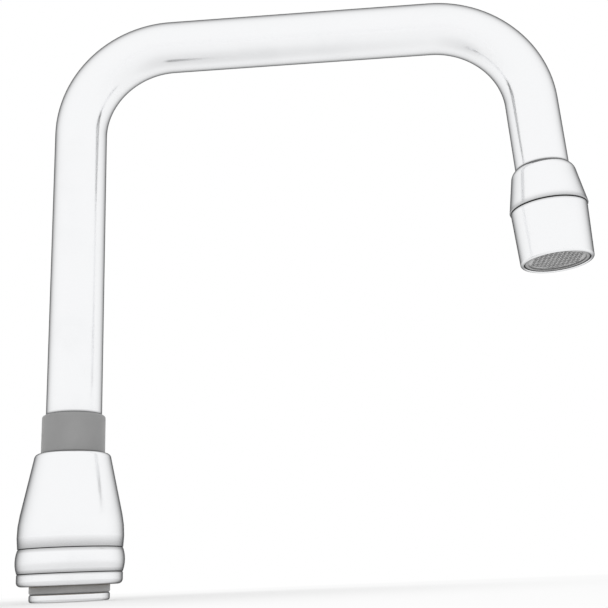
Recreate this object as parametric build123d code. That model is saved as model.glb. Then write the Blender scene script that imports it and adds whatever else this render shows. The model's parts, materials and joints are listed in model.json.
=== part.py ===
from build123d import *
import math
import os

# Commercial swing spout. A coupling nut clamps a swivel stem to the faucet below it, one bent
# tube carries the water up, across and down, and a tapered adapter at its end takes a
# screw-on outlet with a laminar-flow insert. Lengths are in millimetres.
#
# Frame: +Z is up and +X points from the foot towards the outlet. The origin is the centre of
# the stem's foot face. Outlet pieces are drawn upright about their own axis, with height
# counted down the leg from the end of the second bend, and are then placed on the leg.

# Bent tube
TUBE_RADIUS = 19.05 / 2
TUBE_WALL = 1.0
BEND_RADIUS = 34.925
ARM_HEIGHT = 203.2
SPOUT_REACH = 171.45
LEG_LEAN = 2.5

# Clearances, all radial unless named otherwise
RUNNING_CLEARANCE = 0.05
SLEEVE_CLEARANCE = 0.08
BRAZE_CLEARANCE = 0.05
RING_CLEARANCE = 0.02
PASSING_CLEARANCE = 0.2
INSERT_CLEARANCE = 0.07

# How far a cut runs past the faces that it opens
CUT_OVERRUN = 1.0

# Coupling thread, 1-3/16 inch with 18 threads to the inch
NUT_THREAD_RADIUS = 30.1625 / 2
NUT_THREAD_PITCH = 25.4 / 18
NUT_THREAD_RINGS = 8
NUT_MOUTH = 0.8

# Coupling nut, from its mouth upwards
NUT_BOTTOM = 5.05
RIM_HEIGHT = 3.95
BEAD_HEIGHT = 7.9
BELL_HEIGHT = 31.45
RIM_WALL = 2.22
RIM_ROUNDING = 1.6
CREASE = 0.15
BEAD_RISE = 0.67
BELLY_RISE = 0.3
BELLY_ABOVE_BEAD = 4.4
BELLY_CURVE = 32.0
NECK_WALL = 1.78
NECK_ROUNDING = 1.5
THREAD_RELIEF = 0.15
THREAD_RELIEF_HEIGHT = 1.4
CHAMBER_ROOM = 0.5

# Swivel stem, from the foot face upwards
INLET_LEDGE = 0.525
NOZZLE_ROOM = 1.22
FLANGE_HEIGHT = 2.6
FLANGE_LOWER_ROUNDING = 0.8
FLANGE_UPPER_ROUNDING = 0.7
BEARING_GROOVE_HEIGHT = 2.7
BEARING_GROOVE_DEPTH = 1.2
RING_LAND = 1.15
RING_GROOVE_ROOM = 0.62
RING_SQUEEZE = 0.43
PLUG_TOP_LAND = 3.0
SHOULDER_HEIGHT = 3.7
SHOULDER_ROUNDING = 0.3
TUBE_SEAT = 8.0

# Loose rings of the swivel
BEARING_RING_PROUD = 0.05
BEARING_RING_ROUNDING = 0.6
BEARING_RING_SPLIT = 0.8
O_RING_SECTION = 1.78
SEAT_WASHER_THICKNESS = 1.5
SLIP_WASHER_THICKNESS = 1.4
SLEEVE_WALL = 1.195
SLEEVE_FLANGE_HEIGHT = 2.0
COLLAR_HEIGHT = 13.25
SLEEVE_ROUNDING = 0.85
SLEEVE_MOUTH = 0.3

# Outlet adapter, heights down the leg
LEG_LENGTH = 27.0
SOCKET_DEPTH = 11.5
ADAPTER_LENGTH = 15.5
ADAPTER_LIP = 0.3
ADAPTER_SHOULDER_HEIGHT = 2.6
ADAPTER_SHOULDER_WALL = 1.975
ADAPTER_OVERHANG = 0.45
ADAPTER_ROUNDING = 0.4

# Outlet thread, 15/16 inch with 27 threads to the inch
OUTLET_THREAD_RADIUS = 23.8125 / 2
OUTLET_THREAD_PITCH = 25.4 / 27
OUTLET_THREAD_RINGS = 5
OUTLET_THREAD_NECK = 0.5

# Outlet housing
HOUSING_SPACE = 0.2
HOUSING_LENGTH = 19.7
HOUSING_WALL = 1.494
HOUSING_TAPER = 0.7
HOUSING_TOP_ROUNDING = 0.3
HOUSING_LIP_ROUNDING = 0.85
HOUSING_LIP_INNER_ROUNDING = 0.4
HOUSING_MOUTH = 0.4
HOUSING_LEDGE = 0.506
FACE_RECESS = 0.5

# Laminar-flow insert
OUTLET_WASHER_THICKNESS = 1.5
OUTLET_WASHER_COVER = 0.7
INSERT_FLANGE_HEIGHT = 2.0
INSERT_FLANGE_CLEARANCE = 0.1
INSERT_ROUNDING = 0.3
DISC_WALL = 1.68
SCREEN_WALL = 0.88
DISC_LEDGE_WIDTH = 0.5
CHAMBER_HEIGHT = 1.8
CATCH_WIDTH = 0.4
CATCH_HEIGHT = 0.5
STRAINER_SHEET = 0.3
STRAINER_RIM = 1.45
STRAINER_DOME_RISE = 3.0
STRAINER_HOLE = 0.5
STRAINER_WEB = 0.6
FLOW_DISC_THICKNESS = 2.2
FLOW_DISC_RIM = 2.45
FLOW_CHANNEL_WIDTH = 3.0
FLOW_CHANNEL_FLOOR = 0.7
FLOW_PORTS = 8
FLOW_PORT_RADIUS = 0.6
FLOW_PORT_INSET = 0.15
FLUTE_RADIUS = 0.5
FLOW_RING_SECTION = 1.45
JET_DISC_THICKNESS = 1.2
JET_RADIUS = 0.45
JET_SPACING = 2.4
JET_MARGIN = 1.0
JETS_MORE_PER_CIRCLE = 6
SCREEN_HEIGHT = 1.0
SCREEN_SHEET = 0.4
SCREEN_HOLE = 1.1
SCREEN_WEB = 0.45
SCREEN_RIM = 0.75
SCREEN_EDGE = 0.12
GRID_CELL = 1.5
GRID_WEB = 0.3
GRID_EDGE = 0.18

# Sizes that follow from the ones above
THREAD_DEPTH_INSIDE = 5 / 8 * math.cos(math.radians(30))
THREAD_DEPTH_OUTSIDE = 17 / 24 * math.cos(math.radians(30))
NUT_CREST_RADIUS = NUT_THREAD_RADIUS - THREAD_DEPTH_INSIDE * NUT_THREAD_PITCH
STACK_RADIUS = NUT_CREST_RADIUS - PASSING_CLEARANCE
PLUG_RADIUS = NUT_CREST_RADIUS - NOZZLE_ROOM
RIM_TOP = NUT_BOTTOM + RIM_HEIGHT
BEAD_TOP = RIM_TOP + BEAD_HEIGHT
NUT_TOP = BEAD_TOP + BELL_HEIGHT
BEARING_GROOVE_TOP = FLANGE_HEIGHT + BEARING_GROOVE_HEIGHT
RING_GROOVE_HEIGHT = O_RING_SECTION + RING_GROOVE_ROOM
RING_GROOVE_DEPTH = O_RING_SECTION - RING_SQUEEZE
LOWER_RING_GROOVE = BEARING_GROOVE_TOP + RING_LAND
UPPER_RING_GROOVE = LOWER_RING_GROOVE + RING_GROOVE_HEIGHT + RING_LAND
PLUG_HEIGHT = UPPER_RING_GROOVE + RING_GROOVE_HEIGHT + PLUG_TOP_LAND
SHOULDER_BOTTOM = PLUG_HEIGHT + SEAT_WASHER_THICKNESS
SHOULDER_TOP = SHOULDER_BOTTOM + SHOULDER_HEIGHT
SLEEVE_BOTTOM = SHOULDER_TOP + SLIP_WASHER_THICKNESS
NUT_LEDGE = SLEEVE_BOTTOM + SLEEVE_FLANGE_HEIGHT
SLEEVE_TOP = NUT_TOP + COLLAR_HEIGHT
SOCKET_RADIUS = TUBE_RADIUS + BRAZE_CLEARANCE
SLEEVE_BORE = TUBE_RADIUS + RUNNING_CLEARANCE
SLEEVE_RADIUS = SLEEVE_BORE + SLEEVE_WALL
NUT_BORE = SLEEVE_RADIUS + SLEEVE_CLEARANCE
RIM_RADIUS = NUT_THREAD_RADIUS + RIM_WALL
WATERWAY = TUBE_RADIUS - TUBE_WALL
INLET_RADIUS = WATERWAY - INLET_LEDGE

SECOND_BEND = 90.0 - LEG_LEAN
ADAPTER_END = LEG_LENGTH + ADAPTER_LENGTH
HOUSING_TOP = ADAPTER_END + HOUSING_SPACE
HOUSING_LIP = HOUSING_TOP + HOUSING_LENGTH
OUTLET_CREST_LENGTH = OUTLET_THREAD_NECK + OUTLET_THREAD_RINGS * OUTLET_THREAD_PITCH
THREAD_END = ADAPTER_END + OUTLET_CREST_LENGTH
HOUSING_BORE = OUTLET_THREAD_RADIUS + RUNNING_CLEARANCE
FACE_RADIUS = HOUSING_BORE - HOUSING_LEDGE
ADAPTER_RADIUS = HOUSING_BORE + HOUSING_WALL + ADAPTER_OVERHANG
INSERT_TOP = THREAD_END + OUTLET_WASHER_THICKNESS
INSERT_LEDGE = INSERT_TOP + INSERT_FLANGE_HEIGHT
INSERT_FACE = HOUSING_LIP - FACE_RECESS
INSERT_RADIUS = FACE_RADIUS - INSERT_CLEARANCE
INSERT_FLANGE_RADIUS = HOUSING_BORE - INSERT_FLANGE_CLEARANCE
DISC_BORE = INSERT_RADIUS - DISC_WALL
CHAMBER_BORE = DISC_BORE - DISC_LEDGE_WIDTH
SCREEN_BORE = INSERT_RADIUS - SCREEN_WALL
CATCH_BORE = SCREEN_BORE - CATCH_WIDTH
DISC_RADIUS = DISC_BORE - RUNNING_CLEARANCE
SCREEN_RADIUS = SCREEN_BORE - RUNNING_CLEARANCE
OUTLET_WASHER_BORE = DISC_BORE - OUTLET_WASHER_COVER
STRAINER_DOME_RADIUS = DISC_RADIUS - STRAINER_RIM
FLOW_CHANNEL_OUTER = DISC_RADIUS - FLOW_DISC_RIM
FLOW_CHANNEL_INNER = FLOW_CHANNEL_OUTER - FLOW_CHANNEL_WIDTH
FLOW_DISC_TOP = INSERT_TOP + STRAINER_SHEET
JET_DISC_TOP = FLOW_DISC_TOP + FLOW_DISC_THICKNESS
DISC_LEDGE = JET_DISC_TOP + JET_DISC_THICKNESS
SCREEN_LEDGE = DISC_LEDGE + CHAMBER_HEIGHT
GRID_TOP = SCREEN_LEDGE + 2 * SCREEN_HEIGHT
GRID_BOTTOM = INSERT_FACE - CATCH_HEIGHT

# The arm's straight length sets the reach of the outlet's centre from the stem's axis
LEAN = math.radians(LEG_LEAN)
BEND_RUN = BEND_RADIUS * math.cos(LEAN)
ARM_LENGTH = SPOUT_REACH - BEND_RADIUS - BEND_RUN - HOUSING_LIP * math.sin(LEAN)
BEND_END = Vector(
    BEND_RADIUS + ARM_LENGTH + BEND_RUN,
    0,
    ARM_HEIGHT - BEND_RADIUS * (1 - math.sin(LEAN)),
)
LEG_DIRECTION = Vector(math.sin(LEAN), 0, -math.cos(LEAN))
LEG = Plane(origin=BEND_END, x_dir=(0, 1, 0), z_dir=LEG_DIRECTION).location


def turned(*corners):
    """A solid turned about Z from corners given as (radius, height) or (radius, height, rounding)."""
    points = [(corner[0], corner[1]) for corner in corners]
    rounding = [corner[2] if len(corner) == 3 else 0 for corner in corners]
    outline = FilletPolyline(*points, radius=rounding, close=True)
    return revolve(Plane.XZ * make_face(outline), Axis.Z)


def washer(bore, radius, bottom, thickness, rounding=0):
    """A flat ring with rounded outer edges."""
    top = bottom + thickness
    return turned((bore, bottom), (radius, bottom, rounding), (radius, top, rounding), (bore, top))


def o_ring(inner_radius, section, height):
    """A round-section ring whose middle is at a height."""
    return Pos(0, 0, height) * Torus(inner_radius + section / 2, section / 2)


def thread_rings(radius, depth, pitch, rings, start):
    """Corners of a run of equal thread rings, going up. A positive depth digs outwards from the crests."""
    flank = abs(depth) * math.tan(math.radians(30))
    flat = (pitch - 2 * flank) / 2
    corners = []
    for ring in range(rings):
        foot = start + ring * pitch + flat / 2
        corners.append((radius, foot))
        corners.append((radius + depth, foot + flank))
        corners.append((radius + depth, foot + flank + flat))
        corners.append((radius, foot + 2 * flank + flat))
    return corners


def hexagonal_spots(pitch, radius):
    """Centres of a triangular pattern that lie inside a radius."""
    row_height = pitch * math.sqrt(3) / 2
    rows = math.ceil(radius / row_height)
    spots = []
    for row in range(-rows, rows + 1):
        shift = pitch / 2 if row % 2 else 0
        columns = math.ceil(radius / pitch) + 1
        for column in range(-columns, columns + 1):
            spot = (column * pitch + shift, row * row_height)
            if math.hypot(*spot) <= radius:
                spots.append(spot)
    return spots


def square_spots(pitch, radius):
    """Centres of a square pattern that lie inside a radius."""
    steps = math.ceil(radius / pitch)
    line = range(-steps, steps + 1)
    spots = [(column * pitch, row * pitch) for row in line for column in line]
    return [spot for spot in spots if math.hypot(*spot) <= radius]


def circle_spots(radius, count):
    """Centres evenly spaced round a circle."""
    turns = [math.tau * step / count for step in range(count)]
    return [(radius * math.cos(turn), radius * math.sin(turn)) for turn in turns]


def cuts(shape, spots, start, end):
    """Straight cuts of one flat shape at many places, from one height to another."""
    pattern = Sketch() + [Pos(*spot) * shape for spot in spots]
    return extrude(Pos(0, 0, start) * pattern, end - start)


def through(shape, spots, top, bottom):
    """Cuts that run right through a plate between two heights."""
    return cuts(shape, spots, top - CUT_OVERRUN, bottom + CUT_OVERRUN)


def coupling_nut():
    """A rim, a rolled bead and a long bell that closes on the guide sleeve."""
    relief_radius = NUT_THREAD_RADIUS + THREAD_RELIEF
    crease_radius = RIM_RADIUS - CREASE
    bead_bottom = RIM_TOP + CREASE
    bead_end = BEAD_TOP - CREASE
    rim = FilletPolyline(
        (relief_radius, NUT_BOTTOM),
        (RIM_RADIUS, NUT_BOTTOM),
        (RIM_RADIUS, RIM_TOP - CREASE),
        radius=[RIM_ROUNDING],
    )
    lower_crease = Polyline(rim @ 1, (crease_radius, RIM_TOP), (RIM_RADIUS, bead_bottom))
    bead_middle = (RIM_RADIUS + BEAD_RISE, (bead_bottom + bead_end) / 2)
    bead = ThreePointArc(lower_crease @ 1, bead_middle, (RIM_RADIUS, bead_end))

    belly_centre = Vector(RIM_RADIUS + BELLY_RISE - BELLY_CURVE, BEAD_TOP + BELLY_ABOVE_BEAD)
    neck = Vector(NUT_BORE + NECK_WALL, NUT_TOP)
    to_neck = neck - belly_centre
    tangent_angle = math.atan2(to_neck.Y, to_neck.X) - math.acos(BELLY_CURVE / to_neck.length)
    start_height = BEAD_TOP + CREASE - belly_centre.Y
    start_angle = math.asin(start_height / BELLY_CURVE)

    def on_belly(angle):
        return belly_centre + Vector(math.cos(angle), math.sin(angle)) * BELLY_CURVE

    belly_start = on_belly(start_angle)
    upper_crease = Polyline(bead @ 1, (crease_radius, BEAD_TOP), belly_start)
    belly = ThreePointArc(
        belly_start, on_belly((start_angle + tangent_angle) / 2), on_belly(tangent_angle)
    )
    bell = FilletPolyline(belly @ 1, neck, (NUT_BORE, NUT_TOP), radius=[NECK_ROUNDING])

    thread_bottom = NUT_BOTTOM + NUT_MOUTH
    thread_top = thread_bottom + NUT_THREAD_RINGS * NUT_THREAD_PITCH
    thread = thread_rings(
        NUT_CREST_RADIUS,
        NUT_THREAD_RADIUS - NUT_CREST_RADIUS,
        NUT_THREAD_PITCH,
        NUT_THREAD_RINGS,
        thread_bottom,
    )
    chamber_radius = STACK_RADIUS + CHAMBER_ROOM
    inside = [(relief_radius, NUT_BOTTOM), (NUT_CREST_RADIUS, thread_bottom)]
    inside += thread
    inside += [
        (NUT_CREST_RADIUS, thread_top),
        (relief_radius, thread_top),
        (relief_radius, thread_top + THREAD_RELIEF_HEIGHT),
        (chamber_radius, thread_top + THREAD_RELIEF_HEIGHT),
        (chamber_radius, NUT_LEDGE),
        (NUT_BORE, NUT_LEDGE),
        (NUT_BORE, NUT_TOP),
    ]
    outline = rim + lower_crease + bead + upper_crease + belly + bell + Polyline(*inside)
    return revolve(Plane.XZ * make_face(outline), Axis.Z)


def guide_sleeve():
    """A flanged plastic sleeve between the nut and the tube, which shows as a collar above the nut."""
    return turned(
        (SLEEVE_BORE, SLEEVE_BOTTOM),
        (STACK_RADIUS, SLEEVE_BOTTOM),
        (STACK_RADIUS, NUT_LEDGE),
        (SLEEVE_RADIUS, NUT_LEDGE),
        (SLEEVE_RADIUS, SLEEVE_TOP, min(SLEEVE_ROUNDING, SLEEVE_WALL - SLEEVE_MOUTH)),
        (SLEEVE_BORE + SLEEVE_MOUTH / 2, SLEEVE_TOP),
        (SLEEVE_BORE, SLEEVE_TOP - SLEEVE_MOUTH),
    )


def swivel_stem():
    """The brass plug that seals in the faucet's nozzle, with a shoulder that the nut clamps."""
    bearing_floor = PLUG_RADIUS - BEARING_GROOVE_DEPTH
    ring_floor = PLUG_RADIUS - RING_GROOVE_DEPTH
    corners = [
        (INLET_RADIUS, 0),
        (PLUG_RADIUS, 0, FLANGE_LOWER_ROUNDING),
        (PLUG_RADIUS, FLANGE_HEIGHT, FLANGE_UPPER_ROUNDING),
        (bearing_floor, FLANGE_HEIGHT),
        (bearing_floor, BEARING_GROOVE_TOP),
        (PLUG_RADIUS, BEARING_GROOVE_TOP),
    ]
    for groove in (LOWER_RING_GROOVE, UPPER_RING_GROOVE):
        corners.append((PLUG_RADIUS, groove))
        corners.append((ring_floor, groove))
        corners.append((ring_floor, groove + RING_GROOVE_HEIGHT))
        corners.append((PLUG_RADIUS, groove + RING_GROOVE_HEIGHT))
    corners += [
        (PLUG_RADIUS, SHOULDER_BOTTOM),
        (STACK_RADIUS, SHOULDER_BOTTOM, SHOULDER_ROUNDING),
        (STACK_RADIUS, SHOULDER_TOP, SHOULDER_ROUNDING),
        (SOCKET_RADIUS, SHOULDER_TOP),
        (SOCKET_RADIUS, TUBE_SEAT),
        (INLET_RADIUS, TUBE_SEAT),
    ]
    return turned(*corners)


def bearing_ring():
    """A split plastic ring in the lowest groove, which shows as a grey band under the nut."""
    ring = washer(
        PLUG_RADIUS - BEARING_GROOVE_DEPTH + RING_CLEARANCE,
        PLUG_RADIUS + BEARING_RING_PROUD,
        FLANGE_HEIGHT,
        BEARING_GROOVE_HEIGHT,
        BEARING_RING_ROUNDING,
    )
    split = Box(BEARING_RING_SPLIT, 2 * PLUG_RADIUS, 4 * BEARING_GROOVE_HEIGHT)
    return ring - Pos(0, PLUG_RADIUS, FLANGE_HEIGHT) * split


def stem_o_ring(groove):
    """A sealing ring in one of the stem's grooves."""
    inner = PLUG_RADIUS - RING_GROOVE_DEPTH + RING_CLEARANCE
    return o_ring(inner, O_RING_SECTION, groove + RING_GROOVE_HEIGHT / 2)


def seat_washer():
    """The thin washer between the shoulder and the rim of the faucet's nozzle."""
    bore = PLUG_RADIUS + RUNNING_CLEARANCE
    return washer(bore, STACK_RADIUS, PLUG_HEIGHT, SEAT_WASHER_THICKNESS)


def slip_washer():
    """The low-friction washer that the shoulder turns against."""
    return washer(SLEEVE_BORE, STACK_RADIUS, SHOULDER_TOP, SLIP_WASHER_THICKNESS)


def spout_tube():
    """One tube: up from the stem, a quarter bend, the arm, a second bend and the leg."""
    rise = Line((0, TUBE_SEAT), (0, ARM_HEIGHT - BEND_RADIUS))
    first_bend = JernArc(rise @ 1, rise % 1, BEND_RADIUS, -90)
    arm = Line(first_bend @ 1, first_bend @ 1 + first_bend % 1 * ARM_LENGTH)
    second_bend = JernArc(arm @ 1, arm % 1, BEND_RADIUS, -SECOND_BEND)
    leg = Line(second_bend @ 1, second_bend @ 1 + second_bend % 1 * (LEG_LENGTH + SOCKET_DEPTH))
    path = Plane.XZ * (rise + first_bend + arm + second_bend + leg)
    ring = Circle(TUBE_RADIUS) - Circle(WATERWAY)
    return sweep(Pos(0, 0, TUBE_SEAT) * ring, path=Wire(path.edges()))


def outlet_adapter():
    """The tapered end piece on the leg, with a rounded shoulder above and a male thread below."""
    shoulder_end = (TUBE_RADIUS + ADAPTER_SHOULDER_WALL, LEG_LENGTH + ADAPTER_SHOULDER_HEIGHT)
    cone_edge = (ADAPTER_RADIUS, ADAPTER_END)
    root_radius = OUTLET_THREAD_RADIUS - THREAD_DEPTH_OUTSIDE * OUTLET_THREAD_PITCH
    top = (SOCKET_RADIUS + ADAPTER_LIP, LEG_LENGTH)
    cone = FilletPolyline(
        shoulder_end, cone_edge, (root_radius, ADAPTER_END), radius=[ADAPTER_ROUNDING]
    )
    shoulder = TangentArc(shoulder_end, top, tangent=Vector(*shoulder_end) - Vector(*cone_edge))
    thread = thread_rings(
        OUTLET_THREAD_RADIUS,
        root_radius - OUTLET_THREAD_RADIUS,
        OUTLET_THREAD_PITCH,
        OUTLET_THREAD_RINGS,
        ADAPTER_END + OUTLET_THREAD_NECK,
    )
    socket_end = LEG_LENGTH + SOCKET_DEPTH
    inside = [
        (root_radius, ADAPTER_END),
        (root_radius, ADAPTER_END + OUTLET_THREAD_NECK),
        (OUTLET_THREAD_RADIUS, ADAPTER_END + OUTLET_THREAD_NECK),
        *thread,
        (root_radius, THREAD_END),
        (WATERWAY, THREAD_END),
        (WATERWAY, socket_end),
        (SOCKET_RADIUS, socket_end),
        (SOCKET_RADIUS, LEG_LENGTH),
        top,
    ]
    outline = shoulder + cone + Polyline(*inside)
    return LEG * revolve(Plane.XZ * make_face(outline), Axis.Z)


def outlet_housing():
    """The screw-on shell that holds the insert up against the adapter."""
    lip_radius = HOUSING_BORE + HOUSING_WALL - HOUSING_TAPER
    lip_rounding = min(HOUSING_LIP_ROUNDING, lip_radius - FACE_RADIUS - HOUSING_LIP_INNER_ROUNDING)
    return LEG * turned(
        (HOUSING_BORE + HOUSING_MOUTH, HOUSING_TOP),
        (HOUSING_BORE + HOUSING_WALL, HOUSING_TOP, HOUSING_TOP_ROUNDING),
        (lip_radius, HOUSING_LIP, lip_rounding),
        (FACE_RADIUS, HOUSING_LIP, HOUSING_LIP_INNER_ROUNDING),
        (FACE_RADIUS, INSERT_LEDGE),
        (HOUSING_BORE, INSERT_LEDGE),
        (HOUSING_BORE, HOUSING_TOP + HOUSING_MOUTH),
    )


def outlet_washer():
    """The rubber washer that seals the insert against the end of the adapter."""
    return LEG * washer(
        OUTLET_WASHER_BORE, INSERT_FLANGE_RADIUS, THREAD_END, OUTLET_WASHER_THICKNESS
    )


def insert_body():
    """The plastic cup that carries the discs, the screens and the grid."""
    return LEG * turned(
        (DISC_BORE, INSERT_TOP),
        (INSERT_FLANGE_RADIUS, INSERT_TOP),
        (INSERT_FLANGE_RADIUS, INSERT_LEDGE),
        (INSERT_RADIUS, INSERT_LEDGE),
        (INSERT_RADIUS, INSERT_FACE, INSERT_ROUNDING),
        (CATCH_BORE, INSERT_FACE),
        (CATCH_BORE, GRID_BOTTOM),
        (SCREEN_BORE, GRID_BOTTOM),
        (SCREEN_BORE, SCREEN_LEDGE),
        (CHAMBER_BORE, SCREEN_LEDGE),
        (CHAMBER_BORE, DISC_LEDGE),
        (DISC_BORE, DISC_LEDGE),
    )


def strainer():
    """A perforated dome with a flat rim, held under the washer."""
    rise = STRAINER_DOME_RISE
    inner_rise = rise - STRAINER_SHEET
    inner_radius = STRAINER_DOME_RADIUS - STRAINER_SHEET
    apex = INSERT_TOP - rise
    rim_bottom = INSERT_TOP + STRAINER_SHEET

    def dome(base, height, lift):
        """An arc from the axis out to a base radius, as high as its rise."""
        curve = (base**2 + height**2) / (2 * height)
        half = math.asin(base / curve) / 2
        middle = (curve * math.sin(half), lift + curve * (1 - math.cos(half)))
        return ThreePointArc((0, lift), middle, (base, lift + height))

    outer = dome(STRAINER_DOME_RADIUS, rise, apex)
    inner = dome(inner_radius, inner_rise + STRAINER_SHEET, apex + STRAINER_SHEET)
    rim = Polyline(
        outer @ 1, (DISC_RADIUS, INSERT_TOP), (DISC_RADIUS, rim_bottom), inner @ 1
    )
    outline = outer + rim + inner + Line(inner @ 0, outer @ 0)
    shell = revolve(Plane.XZ * make_face(outline), Axis.Z)
    pitch = 2 * STRAINER_HOLE + STRAINER_WEB
    spots = hexagonal_spots(pitch, inner_radius - pitch / 2)
    holes = through(Circle(STRAINER_HOLE), spots, apex, rim_bottom)
    return LEG * (shell - holes)


def flow_disc():
    """The regulator's disc: a channel for its ring, a fluted boss and a circle of ports."""
    channel_floor = JET_DISC_TOP - FLOW_CHANNEL_FLOOR
    disc = turned(
        (0, FLOW_DISC_TOP),
        (FLOW_CHANNEL_INNER, FLOW_DISC_TOP),
        (FLOW_CHANNEL_INNER, channel_floor),
        (FLOW_CHANNEL_OUTER, channel_floor),
        (FLOW_CHANNEL_OUTER, FLOW_DISC_TOP),
        (DISC_RADIUS, FLOW_DISC_TOP),
        (DISC_RADIUS, JET_DISC_TOP),
        (0, JET_DISC_TOP),
    )
    port_circle = FLOW_CHANNEL_OUTER - FLOW_PORT_INSET - FLOW_PORT_RADIUS
    port_spots = circle_spots(port_circle, FLOW_PORTS)
    flute_spots = circle_spots(FLOW_CHANNEL_INNER, FLOW_PORTS)
    ports = through(Circle(FLOW_PORT_RADIUS), port_spots, FLOW_DISC_TOP, JET_DISC_TOP)
    flutes = cuts(Circle(FLUTE_RADIUS), flute_spots, FLOW_DISC_TOP - CUT_OVERRUN, channel_floor)
    return LEG * (disc - ports - flutes)


def flow_ring():
    """The soft ring that narrows the channel as the pressure rises."""
    middle = (FLOW_CHANNEL_INNER + FLOW_CHANNEL_OUTER) / 2
    height = JET_DISC_TOP - FLOW_CHANNEL_FLOOR - FLOW_RING_SECTION / 2
    return LEG * o_ring(middle - FLOW_RING_SECTION / 2, FLOW_RING_SECTION, height)


def jet_disc():
    """A plate with circles of small holes that spreads the flow."""
    disc = turned(
        (0, JET_DISC_TOP), (DISC_RADIUS, JET_DISC_TOP), (DISC_RADIUS, DISC_LEDGE), (0, DISC_LEDGE)
    )
    spots = []
    circles = int((CHAMBER_BORE - JET_MARGIN) / JET_SPACING)
    for circle in range(1, circles + 1):
        spots += circle_spots(circle * JET_SPACING, circle * JETS_MORE_PER_CIRCLE)
    jets = through(Circle(JET_RADIUS), spots, JET_DISC_TOP, DISC_LEDGE)
    return LEG * (disc - jets)


def stream_screen(top):
    """A fine square mesh in a raised rim."""
    bottom = top + SCREEN_HEIGHT
    mesh_radius = SCREEN_RADIUS - SCREEN_RIM
    frame = turned(
        (0, bottom - SCREEN_SHEET),
        (mesh_radius, bottom - SCREEN_SHEET),
        (mesh_radius, top),
        (SCREEN_RADIUS, top),
        (SCREEN_RADIUS, bottom),
        (0, bottom),
    )
    hole_corner = SCREEN_HOLE / math.sqrt(2)
    spots = square_spots(SCREEN_HOLE + SCREEN_WEB, mesh_radius - hole_corner - SCREEN_EDGE)
    holes = through(Rectangle(SCREEN_HOLE, SCREEN_HOLE), spots, top, bottom)
    return LEG * (frame - holes)


def outlet_grid():
    """A honeycomb that straightens the stream and closes the outlet."""
    disc = washer(0, SCREEN_RADIUS, GRID_TOP, GRID_BOTTOM - GRID_TOP)
    cell = RegularPolygon(GRID_CELL / 2, 6, major_radius=False)
    cell_corner = GRID_CELL / math.sqrt(3)
    spots = hexagonal_spots(GRID_CELL + GRID_WEB, CATCH_BORE - cell_corner - GRID_EDGE)
    return LEG * (disc - through(cell, spots, GRID_TOP, GRID_BOTTOM))


NODES = {
    "coupling_nut": coupling_nut(),
    "guide_sleeve": guide_sleeve(),
    "slip_washer": slip_washer(),
    "swivel_stem": swivel_stem(),
    "bearing_ring": bearing_ring(),
    "stem_o_ring_lower": stem_o_ring(LOWER_RING_GROOVE),
    "stem_o_ring_upper": stem_o_ring(UPPER_RING_GROOVE),
    "seat_washer": seat_washer(),
    "spout_tube": spout_tube(),
    "outlet_adapter": outlet_adapter(),
    "outlet_housing": outlet_housing(),
    "outlet_washer": outlet_washer(),
    "insert_body": insert_body(),
    "strainer": strainer(),
    "flow_disc": flow_disc(),
    "flow_ring": flow_ring(),
    "jet_disc": jet_disc(),
    "stream_screen_upper": stream_screen(SCREEN_LEDGE),
    "stream_screen_lower": stream_screen(SCREEN_LEDGE + SCREEN_HEIGHT),
    "outlet_grid": outlet_grid(),
}

os.makedirs("parts", exist_ok=True)
for name, shape in NODES.items():
    export_step(shape, f"parts/{name}.step")
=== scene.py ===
import bpy
import json
import math
import numpy as np
from mathutils import Matrix, Vector


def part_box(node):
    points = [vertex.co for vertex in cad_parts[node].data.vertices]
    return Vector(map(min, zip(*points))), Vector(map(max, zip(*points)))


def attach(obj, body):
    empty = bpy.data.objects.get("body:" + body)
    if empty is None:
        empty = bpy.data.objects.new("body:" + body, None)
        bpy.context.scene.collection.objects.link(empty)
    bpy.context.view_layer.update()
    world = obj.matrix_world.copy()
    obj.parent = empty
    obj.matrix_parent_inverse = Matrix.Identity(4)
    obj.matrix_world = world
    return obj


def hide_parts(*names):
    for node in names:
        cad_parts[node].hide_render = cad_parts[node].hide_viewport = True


# Commercial swing spout: a bell-shaped coupling nut, a bent tube and a screw-on outlet, all in
# polished chromium plate, with a grey moulded collar, bearing ring and outlet grid.
# Lengths are in metres. Every turned piece is carried along one centre line, which starts at
# the foot, rises, bends over into the arm and bends down into the leg.

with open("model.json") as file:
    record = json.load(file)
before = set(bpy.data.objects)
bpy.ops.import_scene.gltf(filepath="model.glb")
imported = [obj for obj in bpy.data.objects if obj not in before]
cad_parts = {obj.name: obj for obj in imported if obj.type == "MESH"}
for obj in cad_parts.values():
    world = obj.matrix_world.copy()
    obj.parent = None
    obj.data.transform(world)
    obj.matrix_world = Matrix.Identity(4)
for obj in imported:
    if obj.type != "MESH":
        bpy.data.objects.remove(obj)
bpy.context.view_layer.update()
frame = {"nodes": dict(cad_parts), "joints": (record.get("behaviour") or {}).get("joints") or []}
joints = {joint["name"]: joint for joint in frame["joints"]}

MM = 0.001
INCH = 25.4 * MM

# Centre line and tube, from the frame
tube_low, tube_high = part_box("spout_tube")
TUBE_RADIUS = -tube_low.x
TUBE_WALL = 1.0 * MM
TUBE_SEAT = tube_low.z
ARM_HEIGHT = tube_high.z - TUBE_RADIUS
BEND_RADIUS = 34.925 * MM
LEG_DIRECTION = Vector(joints["housing_turn"]["axis"]).normalized()
OUTLET_CENTRE = Vector(joints["housing_turn"]["pos_m"])
LEG_LENGTH = 27.0 * MM
SOCKET_DEPTH = 11.5 * MM

# Clearances
RUNNING_CLEARANCE = 0.05 * MM
SLEEVE_CLEARANCE = 0.08 * MM
BRAZE_CLEARANCE = 0.05 * MM
PASSING_CLEARANCE = 0.2 * MM

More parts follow.
